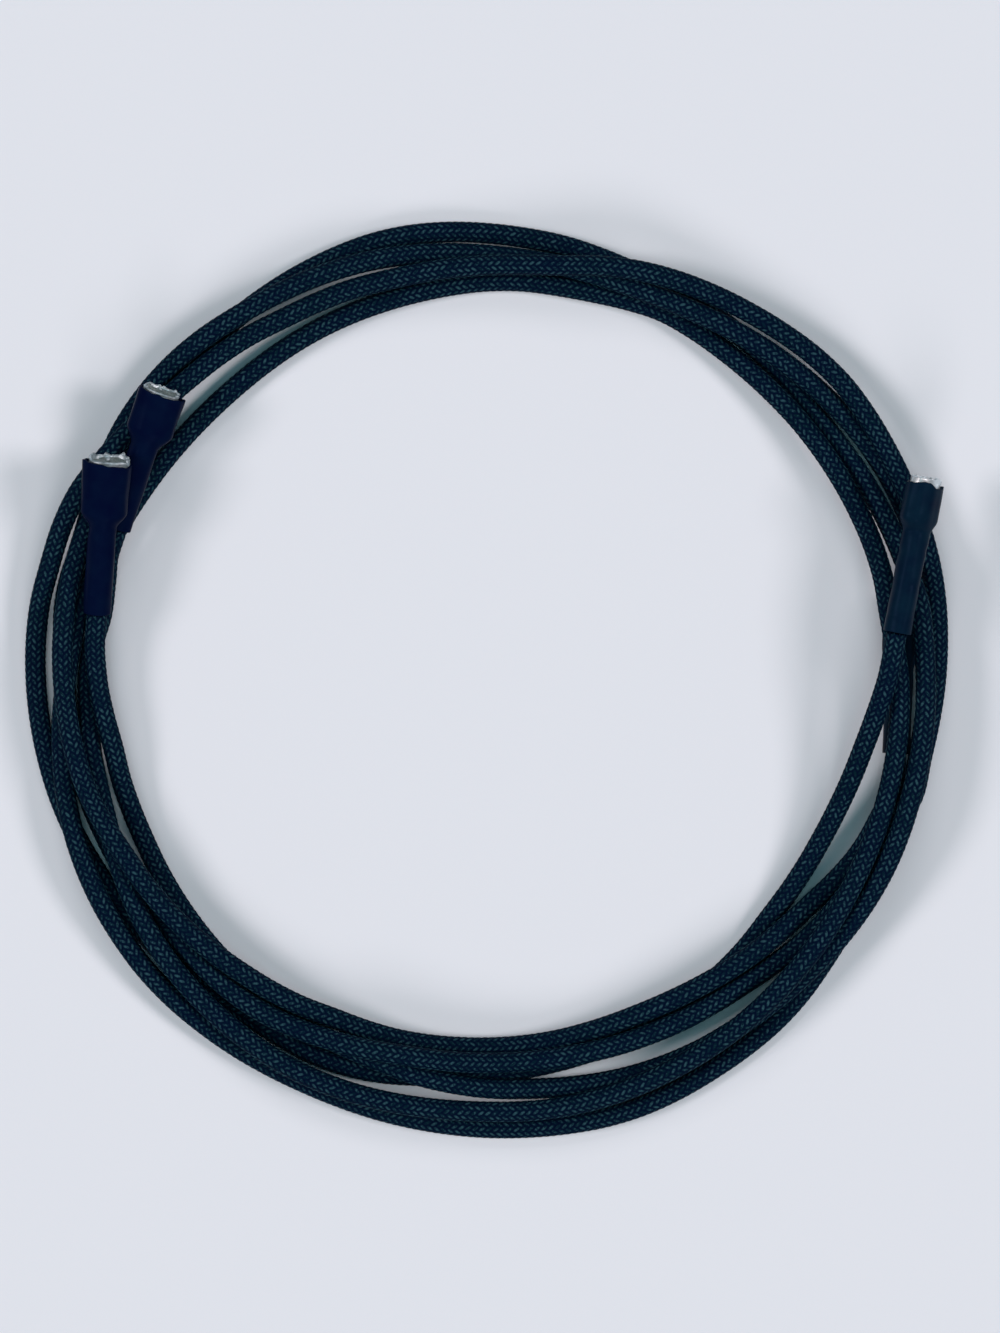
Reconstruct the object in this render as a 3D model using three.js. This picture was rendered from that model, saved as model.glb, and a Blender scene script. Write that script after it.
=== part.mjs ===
// Two equal braided instrument cords, wound together into one loose flat ring.
// Each cord ends twice in a shrink sleeve with an oval metal end, so the ring has four ends.
// Millimetres, +Z up, the middle of the ring over the origin and the table at z = 0.
import * as THREE from "three";

// ---- Driving sizes ----
const cordDiameter = 6.2; // over the textile braid
const coilRadius = 122; // from the ring's middle to the middle of its bundle
const runningGap = 0.3; // between pieces that touch on the real cord
const layGap = 0.72; // aimed for between strands that lie on each other
const sinkPerRound = 0.03; // how hard the strands press down while they are laid
const pullPerRound = 0.03; // how hard each is held to its own swing
const rollRoom = 0.45; // more room that a rolled oval needs at its shoulders
const flatShare = 0.1; // of the diameter, cut off the underside where the cord lies
const ringStep = 5; // degrees of winding between two rings of the tube
const cordSides = 8;

const sleeveLength = 45;
const sleeveWall = 0.75;
const sleeveWideWidth = 14.0; // over the sleeve at its mouth, seen from above
const sleeveWideHeight = 9.8;
const sleeveWideLength = 13.7;
const sleeveTaperLength = 7.5;
const sleeveSides = 24;

const cupProud = 1.6; // how far the metal end stands out of the sleeve
const cupDepth = 11.5;
const cupWall = 0.7;
const faceRecess = 0.5; // the insulator's face under the cup's rim
const contactDiameter = 3.0;
const screenDiameter = 5.0;
const screenLength = 3.6;
const coreDiameter = 3.6;
const coreLength = 3.4;
const wireDiameter = 1.5;

// ---- The winding ----
// Each row is one swing of a cord: degrees wound, distance out from the middle
// of the bundle in strand widths, and how many strands it lies over.
const strandWidth = cordDiameter + 0.2;
const cordOneSwings = [
  [10, -1.4, 1.2], [28, -1.95, 0], [54, -1.6, 0], [75, -1.2, 0], [95, -0.65, 0],
  [111, -0.3, 0], [130, 0.15, 0], [150, 1.05, 0], [165, 1.7, 0], [187, 2.15, 0.6],
  [197, 1.95, 1.4], [205, 1.7, 2], [218, 1.2, 2], [230, 0.9, 1.8], [241, 0.45, 0.8], [255, 0.45, 0.2], [268, 0.4, 1],
  [278, 0.5, 1.4], [286, 0.9, 1.6], [305, 1.9, 1], [315, 2.25, 1], [326, 2.3, 1],
  [345, 2.2, 1], [360, 1.7, 1], [368, 1.3, 1], [378, 0.75, 0.5], [390, 0.1, 0], [401, -0.5, 0],
  [420, -1.1, 0.5], [432, -1.25, 1], [452, -1.3, 1.2], [465, -1.05, 2], [475, -0.8, 2], [485, -0.5, 1.6],
  [498, -0.2, 1], [512, 0.1, 0.2], [524, 0.25, 0], [540, 0.5, 0], [560, 0.85, 0], [575, 1.1, 0],
  [596, 1.65, 0], [615, 1.9, 0], [635, 1.55, 0], [650, 1.15, 0], [682, 0.65, 0],
  [705, 1.0, 1], [727, 1.25, 2], [745, 1.15, 2], [755, 1.1, 1], [770, 0.95, 0.7],
  [790, 0.5, 0.5], [804, 0.05, 0.6], [823, -0.55, 1], [845, -0.95, 0], [875, -1.35, 0.3],
  [885, -1.2, 0.7], [895, -0.9, 1.2],
];
const cordTwoSwings = [
  [25, 0.15, 1], [35, -0.6, 1.3], [50, -1.5, 1.5], [60, -1.8, 1], [72, -2.0, 0.6],
  [90, -2.0, 0], [105, -1.8, 0], [120, -1.4, 0.6], [135, -1.0, 1], [145, -0.65, 1.2],
  [155, -0.25, 1.6], [165, 0.3, 1.6], [180, 0.7, 1.6], [200, 1.1, 1], [225, 1.5, 1],
  [245, 1.5, 1], [255, 1.35, 0.9], [265, 1.1, 0.4], [275, 0.75, 0], [288, 0.5, 0], [300, 0.75, 0.3],
  [310, 1.1, 0.8], [327, 1.8, 0.3], [338, 1.95, 0], [350, 1.8, 0], [365, 1.3, 0],
  [390, 1.0, 0], [410, 1.45, 0], [430, 1.95, 0], [445, 1.8, 0], [460, 1.6, 0],
  [474, 1.5, 0], [490, 1.7, 0], [500, 1.8, 0], [520, 1.5, 1], [535, 0.9, 1],
  [545, 0.45, 1], [556, -0.05, 0.3], [570, -0.6, 0], [587, -0.9, 0], [605, -0.75, 0], [620, -0.55, 0],
  [635, -0.15, 0], [653, 0.25, 0], [666, 0.05, 0], [690, -0.05, 0], [705, 0, 0.5],
  [729, 0.15, 1.5], [745, 0.35, 1.4], [761, 0.55, 1], [775, 0.75, 1], [795, 0.95, 1],
  [810, 0.9, 0.6], [835, 1.15, 1], [850, 0.95, 1], [860, 0.7, 1], [870, 0.3, 0.8],
  [880, -0.1, 0.5], [895, -0.3, 0.2], [903, -0.25, 0.2],
];

// Each end: the degrees and the distance out of its sleeve's lower cut and of its
// mouth, how many strands it lies over, how far it rises for each millimetre of
// its length, and how many degrees its oval is rolled about the cord.
const endC = { cut: [-6.9, -0.03], mouth: [-23.9, 2.98], level: 3, rise: 0.05, roll: 60 };
const endA = { cut: [910, -0.55], mouth: [930, 1.35], level: 3, rise: 0.26, roll: 0 };
const endD = { cut: [10, 0.2], mouth: [-10, 0.5], level: 0, rise: 0, roll: 60 };
const endB = { cut: [922.5, -0.35], mouth: [941, 1.1], level: 2, rise: 0.2, roll: 0 };

const radians = Math.PI / 180;
const layStep = ringStep / 2; // degrees between two points that are settled
const lieHeight = (0.5 - flatShare) * cordDiameter;

// Value of column k of the swings at a number of degrees, by a smooth cubic.
function swingAt(rows, degrees, k) {
  let i = 0;
  while (i < rows.length - 2 && degrees > rows[i + 1][0]) {
    i += 1;
  }
  const slope = (j) => {
    const before = rows[Math.max(j - 1, 0)];
    const after = rows[Math.min(j + 1, rows.length - 1)];
    return (after[k] - before[k]) / (after[0] - before[0]);
  };
  const span = rows[i + 1][0] - rows[i][0];
  const t = (degrees - rows[i][0]) / span;
  const a = rows[i][k];
  const b = rows[i + 1][k];
  const ma = slope(i) * span;
  const mb = slope(i + 1) * span;
  const t2 = t * t;
  const t3 = t2 * t;
  return a * (2 * t3 - 3 * t2 + 1) + ma * (t3 - 2 * t2 + t) + b * (3 * t2 - 2 * t3) + mb * (t3 - t2);
}

function planPoint(degrees, radius) {
  const angle = -degrees * radians; // wound clockwise, seen from above
  return [radius * Math.cos(angle), radius * Math.sin(angle)];
}

// The straight line of an end in plan: from its cut, along its sleeve.
function endLine(end) {
  const cut = planPoint(end.cut[0], coilRadius + end.cut[1] * strandWidth);
  const mouth = planPoint(end.mouth[0], coilRadius + end.mouth[1] * strandWidth);
  const length = Math.hypot(mouth[0] - cut[0], mouth[1] - cut[1]);
  const along = [(mouth[0] - cut[0]) / length, (mouth[1] - cut[1]) / length];
  return { cut, along, turn: Math.sign(end.mouth[0] - end.cut[0]) };
}

// Where the ray at a number of degrees meets that line: the radius, and the
// distance from the cut, positive towards the mouth.
function onLine(line, degrees) {
  const [cx, cy] = planPoint(degrees, 1);
  const cross = line.along[0] * cy - line.along[1] * cx;
  const radius = (line.along[0] * line.cut[1] - line.along[1] * line.cut[0]) / cross;
  const s = (radius * cx - line.cut[0]) * line.along[0] + (radius * cy - line.cut[1]) * line.along[1];
  return { radius, s };
}

// Half the width and half the height of a sleeve, before it is rolled, at a
// distance from its cut.
function sleeveHalf(s) {
  const narrow = cordDiameter / 2 + runningGap + sleeveWall;
  const taperEnd = sleeveLength - sleeveWideLength;
  const t = THREE.MathUtils.smoothstep(s, taperEnd - sleeveTaperLength, taperEnd);
  return [
    narrow + (sleeveWideWidth / 2 - narrow) * t,
    narrow + (sleeveWideHeight / 2 - narrow) * t,
  ];
}

// The room that a rolled oval takes sideways and upwards, with its running gap.
function rolledHalf([width, height], roll) {
  const c = Math.cos(roll * radians);
  const s = Math.sin(roll * radians);
  const room = runningGap + rollRoom * Math.abs(2 * s * c);
  return [Math.hypot(width * c, height * s) + room, Math.hypot(width * s, height * c) + room];
}

// The points of one strand, from the mouth of its first sleeve to that of its last.
function strandPoints(cord, swings, first, last) {
  const firstLine = endLine(first);
  const lastLine = endLine(last);
  const points = [];
  const reach = Math.ceil(40 / layStep);
  const start = Math.round(first.cut[0] / layStep) - reach;
  const finish = Math.round(last.cut[0] / layStep) + reach;
  const rows = [
    [first.cut[0] + 2 * layStep, 0, first.level],
    ...swings,
    [last.cut[0] - 2 * layStep, 0, last.level],
  ];
  for (const [row, line] of [[rows[0], firstLine], [rows[rows.length - 1], lastLine]]) {
    row[1] = (onLine(line, row[0]).radius - coilRadius) / strandWidth;
  }
  for (let i = start; i <= finish; i += 1) {
    const degrees = i * layStep;
    const nearFirst = degrees <= rows[0][0] + 1e-6;
    const nearLast = degrees >= rows[rows.length - 1][0] - 1e-6;
    let radius = coilRadius + swingAt(rows, degrees, 1) * strandWidth;
    let level = swingAt(rows, degrees, 2);
    let halves = [cordDiameter / 2, cordDiameter / 2];
    let rigid = null;
    let s = 0;
    if (nearFirst || nearLast) {
      const hit = onLine(nearFirst ? firstLine : lastLine, degrees);
      s = hit.s;
      const past = nearFirst ? firstLine.turn : lastLine.turn;
      const wound = (degrees - (nearFirst ? first : last).cut[0]) * past;
      if (wound > 0 && s > sleeveLength + cupProud) {
        continue;
      }
      if (s > 0.01) {
        halves = rolledHalf(sleeveHalf(s), (nearFirst ? first : last).roll);
      }
      radius = hit.radius;
      level = (nearFirst ? first : last).level;
      rigid = nearFirst ? "first" : "last";
    }
    points.push({ cord, degrees, radius, aim: radius, level, halves, rigid, s });
  }
  for (const p of points) {
    const low = p.rigid && p.s > 0.01 ? p.halves[1] : lieHeight;
    p.floor = low;
    p.z = low + Math.max(p.level, 0) * cordDiameter * 0.95;
  }
  points.forEach((p, i) => {
    const a = points[Math.max(i - 1, 0)];
    const b = points[Math.min(i + 1, points.length - 1)];
    const slope = (b.aim - a.aim) / ((b.degrees - a.degrees) * radians * p.aim);
    p.square = 1 / Math.hypot(1, slope);
  });
  points.rise = { first: first.rise, last: last.rise };
  return points;
}

// Lays the strands down: they sink, are stiff, keep near their aim, and push
// each other aside or up where they would touch, at each step of the winding.
function settle(strands) {
  const all = strands.flat();
  const rays = new Map();
  const perTurn = Math.round(360 / layStep);
  for (const p of all) {
    const ray = ((Math.round(p.degrees / layStep) % perTurn) + perTurn) % perTurn;
    if (!rays.has(ray)) {
      rays.set(ray, []);
    }
    rays.get(ray).push(p);
  }
  const pairs = [];
  for (const here of rays.values()) {
    here.forEach((p, i) => here.slice(i + 1).forEach((q) => pairs.push([p, q])));
  }
  const rounds = 2000;
  for (let round = 0; round < rounds; round += 1) {
    const calm = round > rounds * 0.8;
    const sink = calm ? 0 : sinkPerRound;
    const pull = calm ? 0.01 : pullPerRound;
    for (const p of all) {
      p.pushOut = 0;
      p.pushUp = 0;
      p.touches = 0;
    }
    for (const [p, q] of pairs) {
      const wide = p.halves[0] + q.halves[0] + layGap;
      const high = p.halves[1] + q.halves[1] + layGap;
      const out = ((p.radius - q.radius) * Math.min(p.square, q.square) * high) / wide;
      const up = p.z - q.z;
      const apart = Math.hypot(out, up) || 1e-6;
      if (apart < high) {
        const push = (high - apart) / 2;
        p.pushOut += (push * out) / apart;
        q.pushOut -= (push * out) / apart;
        p.pushUp += (push * up) / apart;
        q.pushUp -= (push * up) / apart;
        p.touches += 1;
        q.touches += 1;
      }
    }
    for (const points of strands) {
      const bend = points.map((p, i) => {
        const a = points[Math.max(i - 1, 0)];
        const b = points[Math.min(i + 1, points.length - 1)];
        return [(a.z + b.z) / 2 - p.z, (a.radius - a.aim + b.radius - b.aim) / 2 - (p.radius - p.aim)];
      });
      points.forEach((p, i) => {
        const share = p.touches > 0 ? 0.8 / Math.sqrt(p.touches) : 0;
        const ease = calm ? 0.1 : 0.5;
        p.z += ease * bend[i][0] + share * p.pushUp - sink;
        if (!p.rigid) {
          p.radius += ease * bend[i][1] + share * p.pushOut;
          p.radius += pull * (p.aim - p.radius);
        }
        p.z = Math.max(p.z, p.floor);
      });
      straighten(points.filter((p) => p.rigid === "first"), points.rise.first);
      straighten(points.filter((p) => p.rigid === "last"), points.rise.last);
    }
  }
}

// A sleeve and the cord's first stretch below it stay on one straight line,
// which rises as its end does, and no point of it lies under the table.
function straighten(points, rise) {
  const meanRest = points.reduce((sum, p) => sum + p.z - rise * p.s, 0) / points.length;
  const least = Math.max(...points.map((p) => p.floor - rise * p.s));
  for (const p of points) {
    p.z = Math.max(meanRest, least) + rise * p.s;
  }
}

const strandOne = strandPoints("one", cordOneSwings, endC, endA);
const strandTwo = strandPoints("two", cordTwoSwings, endD, endB);
settle([strandOne, strandTwo]);

function placeOf(p) {
  const [x, y] = planPoint(p.degrees, p.radius);
  return new THREE.Vector3(x, y, p.z);
}

// The frame of one end: its origin in the cut, its axis towards the mouth.
function endFrame(points, end, which) {
  const line = endLine(end);
  const group = points.filter((p) => p.rigid === which);
  const z = group[0].z - end.rise * group[0].s;
  const axis = new THREE.Vector3(line.along[0], line.along[1], end.rise).normalize();
  const side = new THREE.Vector3(0, 0, 1).cross(axis).normalize();
  side.applyAxisAngle(axis, end.roll * radians);
  const up = new THREE.Vector3().crossVectors(axis, side);
  return { origin: new THREE.Vector3(line.cut[0], line.cut[1], z), axis, side, up };
}

const frames = {
  c: endFrame(strandOne, endC, "first"),
  a: endFrame(strandOne, endA, "last"),
  d: endFrame(strandTwo, endD, "first"),
  b: endFrame(strandTwo, endB, "last"),
};

// The middle line of a cord: its two cut faces, each with a straight stretch
// square to it, and between them the settled points that fall on a ring.
function middleLine(points, first, last, firstFrame, lastFrame) {
  const straight = 1.2 * cordDiameter;
  const line = [
    firstFrame.origin.clone(),
    firstFrame.origin.clone().addScaledVector(firstFrame.axis, -straight),
  ];
  const clear = 2 * layStep + 0.1;
  for (const p of points) {
    const onRing = Math.abs(Math.round(p.degrees / ringStep) * ringStep - p.degrees) < 1e-6;
    if (onRing && p.degrees > first.cut[0] + clear && p.degrees < last.cut[0] - clear) {
      line.push(placeOf(p));
    }
  }
  line.push(lastFrame.origin.clone().addScaledVector(lastFrame.axis, -straight));
  line.push(lastFrame.origin.clone());
  return line;
}

// Least room between two middle lines, less the cord's own diameter. On one
// line only points more than a quarter turn apart are compared.
function leastGap(lineA, lineB, sameCord) {
  let least = Infinity;
  const apart = Math.round(90 / ringStep);
  const near = new THREE.Vector3();
  lineA.forEach((p, i) => {
    for (let j = 0; j < lineB.length - 1; j += 1) {
      if (!sameCord || Math.abs(i - j) > apart) {
        new THREE.Line3(lineB[j], lineB[j + 1]).closestPointToPoint(p, true, near);
        least = Math.min(least, p.distanceTo(near));
      }
    }
  });
  return least - cordDiameter;
}

// One unbroken tube along a middle line, its underside cut flat at the table.
function cordTube(line) {
  const positions = [];
  const index = [];
  line.forEach((p, i) => {
    const before = line[Math.max(i - 1, 0)];
    const after = line[Math.min(i + 1, line.length - 1)];
    const axis = new THREE.Vector3().subVectors(after, before).normalize();
    const side = new THREE.Vector3(0, 0, 1).cross(axis).normalize();
    const up = new THREE.Vector3().crossVectors(axis, side);
    for (let k = 0; k < cordSides; k += 1) {
      const angle = ((k + 0.5) / cordSides) * 2 * Math.PI;
      const v = p.clone();
      v.addScaledVector(side, (Math.cos(angle) * cordDiameter) / 2);
      v.addScaledVector(up, (Math.sin(angle) * cordDiameter) / 2);
      positions.push(v.x, v.y, Math.max(v.z, 0));
    }
  });
  for (let i = 0; i < line.length - 1; i += 1) {
    for (let k = 0; k < cordSides; k += 1) {
      const a = i * cordSides + k;
      const b = i * cordSides + ((k + 1) % cordSides);
      index.push(a, b, b + cordSides, a, b + cordSides, a + cordSides);
    }
  }
  const lastRing = (line.length - 1) * cordSides;
  for (let k = 1; k < cordSides - 1; k += 1) {
    index.push(0, k + 1, k);
    index.push(lastRing, lastRing + k, lastRing + k + 1);
  }
  const geometry = new THREE.BufferGeometry();
  geometry.setAttribute("position", new THREE.Float32BufferAttribute(positions, 3));
  geometry.setIndex(index);
  geometry.computeVertexNormals();
  return geometry;
}

// A turned body whose rings are ovals: rows of distance along the axis, half the
// width and half the height. Rows that start and end at nothing close on the
// axis, and rows that do not are a tube that closes on itself.
function ovalBody(rows, sides) {
  const positions = [];
  const index = [];
  const rings = [];
  for (const [along, width, height] of rows) {
    const start = positions.length / 3;
    if (width === 0) {
      positions.push(0, 0, along);
      rings.push([start, 1]);
    } else {
      for (let k = 0; k < sides; k += 1) {
        const angle = (k / sides) * 2 * Math.PI;
        positions.push(width * Math.cos(angle), height * Math.sin(angle), along);
      }
      rings.push([start, sides]);
    }
  }
  const closed = rows[0][1] !== 0;
  const joins = closed ? rings.length : rings.length - 1;
  for (let i = 0; i < joins; i += 1) {
    const [a, na] = rings[i];
    const [b, nb] = rings[(i + 1) % rings.length];
    for (let k = 0; k < sides; k += 1) {
      const n = (k + 1) % sides;
      if (na > 1) {
        index.push(a + k, a + n, nb > 1 ? b + n : b);
      }
      if (nb > 1) {
        index.push(na > 1 ? a + k : a, b + n, b + k);
      }
    }
  }
  const geometry = new THREE.BufferGeometry();
  geometry.setAttribute("position", new THREE.Float32BufferAttribute(positions, 3));
  geometry.setIndex(index);
  geometry.computeVertexNormals();
  return geometry;
}

// ---- Materials ----
const braid = new THREE.MeshStandardMaterial({ color: 0x16262c, roughness: 0.85, metalness: 0 });
const shrink = new THREE.MeshStandardMaterial({ color: 0x11171f, roughness: 0.42, metalness: 0 });
const tinned = new THREE.MeshStandardMaterial({ color: 0xa9adaf, roughness: 0.38, metalness: 1 });
const resin = new THREE.MeshStandardMaterial({ color: 0x6c7a70, roughness: 0.6, metalness: 0 });
const silvered = new THREE.MeshStandardMaterial({ color: 0xc4c8ca, roughness: 0.3, metalness: 1 });
const copper = new THREE.MeshStandardMaterial({ color: 0xb36f45, roughness: 0.4, metalness: 1 });
const coreSkin = new THREE.MeshStandardMaterial({ color: 0xd9d6cc, roughness: 0.55, metalness: 0 });

const cable = new THREE.Group();

function addPiece(parent, name, geometry, material) {
  const mesh = new THREE.Mesh(geometry, material);
  mesh.name = name;
  parent.add(mesh);
  return mesh;
}

// ---- The two cords ----
const lineOne = middleLine(strandOne, endC, endA, frames.c, frames.a);
const lineTwo = middleLine(strandTwo, endD, endB, frames.d, frames.b);
addPiece(cable, "cord_one", cordTube(lineOne), braid);
addPiece(cable, "cord_two", cordTube(lineTwo), braid);

// ---- One end, along its own axis from the cut ----
function addEnd(letter, frame) {
  const end = new THREE.Group();
  const basis = new THREE.Matrix4().makeBasis(frame.side, frame.up, frame.axis);
  end.quaternion.setFromRotationMatrix(basis);
  end.position.copy(frame.origin);
  cable.add(end);

  // The shrink sleeve: round over the cord, oval over the metal end.
  const outer = [];
  const inner = [];
  const taperStart = sleeveLength - sleeveWideLength - sleeveTaperLength;
  const stops = [runningGap, taperStart];
  for (const share of [0.25, 0.5, 0.75, 1]) {
    stops.push(taperStart + share * sleeveTaperLength);
  }
  stops.push(sleeveLength);
  for (const s of stops) {
    const [w, h] = sleeveHalf(s);
    outer.push([s, w, h]);
    inner.unshift([s, w - sleeveWall, h - sleeveWall]);
  }
  addPiece(end, `shrink_sleeve_${letter}`, ovalBody([...outer, ...inner], sleeveSides), shrink);

  // The metal end: an oval cup in the sleeve's mouth.
  const cupTop = sleeveLength + cupProud;
  const cupBack = cupTop - cupDepth;
  const cupW = sleeveWideWidth / 2 - sleeveWall - runningGap;
  const cupH = sleeveWideHeight / 2 - sleeveWall - runningGap;
  const hole = coreDiameter / 2 + runningGap;
  const cup = [
    [cupBack, hole, hole],
    [cupBack, cupW - 0.4, cupH - 0.4],
    [cupBack + 0.4, cupW, cupH],
    [cupTop - 0.3, cupW, cupH],
    [cupTop, cupW - 0.2, cupH - 0.2],
    [cupTop, cupW - cupWall, cupH - cupWall],
    [cupBack + cupWall, cupW - cupWall, cupH - cupWall],
    [cupBack + cupWall, hole, hole],
  ];
  addPiece(end, `metal_end_${letter}`, ovalBody(cup, sleeveSides), tinned);

  // The insulator that fills the cup, bored for the centre contact.
  const plugBack = cupBack + cupWall + runningGap;
  const plugTop = cupTop - faceRecess;
  const plugW = cupW - cupWall - runningGap;
  const plugH = cupH - cupWall - runningGap;
  const bore = contactDiameter / 2 + runningGap;
  const plug = [
    [plugBack, bore, bore],
    [plugBack, plugW, plugH],
    [plugTop - 0.3, plugW, plugH],
    [plugTop, plugW - 0.3, plugH - 0.3],
    [plugTop, bore, bore],
  ];
  addPiece(end, `insulator_${letter}`, ovalBody(plug, sleeveSides), resin);

  // The centre contact: a pin with a flange that lies on the insulator's face.
  const pin = contactDiameter / 2;
  const pinBack = plugBack;
  const contact = [
    [pinBack, 0, 0],
    [pinBack, pin, pin],
    [plugTop - 0.2, pin, pin],
    [plugTop + 0.1, pin - 0.3, pin - 0.3],
    [plugTop + 0.1, 0, 0],
  ];
  addPiece(end, `contact_${letter}`, ovalBody(contact, 16), silvered);

  // The cord's own end inside the sleeve, then its screen and its core, stepped back.
  const coreEnd = cupBack + cupWall;
  const wireEnd = pinBack - runningGap;
  const coreStart = coreEnd - coreLength;
  const screenStart = coreStart - screenLength;
  const r = (d) => d / 2;
  const rod = (from, to, d, sides) =>
    ovalBody([[from, 0, 0], [from, r(d), r(d)], [to, r(d), r(d)], [to, 0, 0]], sides);
  const ring = (from, to, dOut, dIn, sides) =>
    ovalBody([[from, r(dIn), r(dIn)], [from, r(dOut), r(dOut)], [to, r(dOut), r(dOut)], [to, r(dIn), r(dIn)]], sides);
  addPiece(end, `cord_end_${letter}`, rod(runningGap, screenStart - runningGap, cordDiameter, 16), braid);
  const screenBore = coreDiameter + 2 * runningGap;
  addPiece(end, `screen_${letter}`, ring(screenStart, coreStart, screenDiameter, screenBore, 16), tinned);
  const coreBore = wireDiameter + 2 * runningGap;
  addPiece(end, `core_${letter}`, ring(screenStart, coreEnd, coreDiameter, coreBore, 16), coreSkin);
  addPiece(end, `conductor_${letter}`, rod(screenStart, wireEnd, wireDiameter, 10), copper);
}

for (const [letter, frame] of Object.entries(frames)) {
  addEnd(letter, frame);
}

// ---- The middle of the ring's outline goes over the origin ----
const box = new THREE.Box3().setFromObject(cable, true);
const middle = box.getCenter(new THREE.Vector3());
cable.position.set(-middle.x, -middle.y, 0);

const size = box.getSize(new THREE.Vector3());
console.log(`outside ${size.x.toFixed(1)} x ${size.y.toFixed(1)} x ${size.z.toFixed(1)} mm`);
console.log(`lowest point ${box.min.z.toFixed(3)} mm`);
console.log(`cord one to itself ${leastGap(lineOne, lineOne, true).toFixed(2)} mm`);
console.log(`cord two to itself ${leastGap(lineTwo, lineTwo, true).toFixed(2)} mm`);
console.log(`cord one to cord two ${leastGap(lineOne, lineTwo, false).toFixed(2)} mm`);
const lengthOf = (line) => line.slice(1).reduce((sum, p, i) => sum + p.distanceTo(line[i]), 0);
console.log(`cord lengths ${lengthOf(lineOne).toFixed(0)} and ${lengthOf(lineTwo).toFixed(0)} mm`);

export default cable;
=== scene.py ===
import math

import bpy
import numpy as np
from mathutils import Matrix, Vector


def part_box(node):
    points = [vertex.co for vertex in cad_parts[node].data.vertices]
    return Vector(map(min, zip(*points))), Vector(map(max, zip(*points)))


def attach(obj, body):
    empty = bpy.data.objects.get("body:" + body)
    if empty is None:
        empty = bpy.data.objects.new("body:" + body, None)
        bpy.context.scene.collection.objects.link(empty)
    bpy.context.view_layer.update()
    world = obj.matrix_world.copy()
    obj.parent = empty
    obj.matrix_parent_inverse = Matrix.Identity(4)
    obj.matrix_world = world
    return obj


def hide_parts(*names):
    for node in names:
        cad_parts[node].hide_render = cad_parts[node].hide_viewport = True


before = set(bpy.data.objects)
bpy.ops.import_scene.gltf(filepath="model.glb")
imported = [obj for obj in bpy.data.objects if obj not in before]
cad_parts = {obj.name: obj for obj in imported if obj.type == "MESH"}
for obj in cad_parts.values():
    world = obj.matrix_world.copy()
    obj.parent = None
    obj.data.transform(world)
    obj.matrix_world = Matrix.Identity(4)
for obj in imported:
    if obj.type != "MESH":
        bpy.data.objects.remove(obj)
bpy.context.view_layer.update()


# ---- The view ----
# The ring is seen from straight above, as it lies on a pale table, from far
# enough that the strands that lie on others are hardly larger than the rest.
VIEW_HEIGHT = 3.0
FRAME_HEIGHT = 0.3985  # of the table, from the top of the picture to its foot
FRAME_MIDDLE = (0.0041, 0.0040)
SENSOR_HEIGHT = 24.0


def put_in_scene(name, data):
    made = bpy.data.objects.new(name, data)
    bpy.context.scene.collection.objects.link(made)
    return made


camera = put_in_scene("camera", bpy.data.cameras.new("camera"))
camera.location = (*FRAME_MIDDLE, VIEW_HEIGHT)
camera.data.sensor_fit = "VERTICAL"
camera.data.sensor_height = SENSOR_HEIGHT
camera.data.lens = SENSOR_HEIGHT * VIEW_HEIGHT / FRAME_HEIGHT
camera.data.clip_start = 0.01
camera.data.clip_end = 20.0
bpy.context.scene.camera = camera
bpy.context.scene.view_settings.view_transform = "Standard"


# ---- The two cords ----
# Each is an instrument cord in a tight textile braid, about two metres long, and
# wound by hand with its twin into one loose ring. The strands lie down by the
# same rule, and from the same swings, as the solids of the part.
CORD = 0.0062
STRAND = CORD + 0.0002  # from strand to strand, side by side
RING = 0.122  # from the ring's middle to the middle of its bundle
LAYER_SHARE = 0.95  # of the cord, that a strand lies higher on another
FLAT_SHARE = 0.1  # of the cord, flat on its underside where it lies
LIE_HEIGHT = (0.5 - FLAT_SHARE) * CORD
RUNNING_GAP = 0.0003
LAY_GAP = 0.00072  # aimed for between strands that lie on each other
ROLL_ROOM = 0.00045  # more room that a rolled oval needs at its shoulders
LAY_STEP = 2.5  # degrees from one settled point to the next
RING_STEP = 5.0  # degrees from one point of the route to the next
LEAD_IN = 2 * LAY_STEP  # degrees by which a straight end begins before its cut
END_REACH = 16  # steps past a cut, within which the mouth of its end lies
TINY = 0.00001  # an end no further past its cut than this is bare cord
HAIR = 1e-9  # the least distance reckoned with between two strands

SETTLE_ROUNDS = 2000
CALM_SHARE = 0.8  # of the rounds, after which the strands no longer sink
PUSH_SHARE = 0.8  # of an overlap, that one round takes away
SINK = 0.00003  # by which every strand presses down in a round
PULL, CALM_PULL = 0.03, 0.01  # how hard each is held to its own swing
EASE, CALM_EASE = 0.5, 0.1  # how much of a bend is evened in a round

# The solids of the sleeves and metal ends, whose room the strands leave free.
SLEEVE_LENGTH = 0.045
SLEEVE_WALL = 0.00075
SLEEVE_WIDE = (0.0140, 0.0098)  # across and in height at the mouth
SLEEVE_WIDE_LENGTH = 0.0137
SLEEVE_TAPER = 0.0075
CUP_PROUD = 0.0016  # how far a metal end stands out of its sleeve

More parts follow.
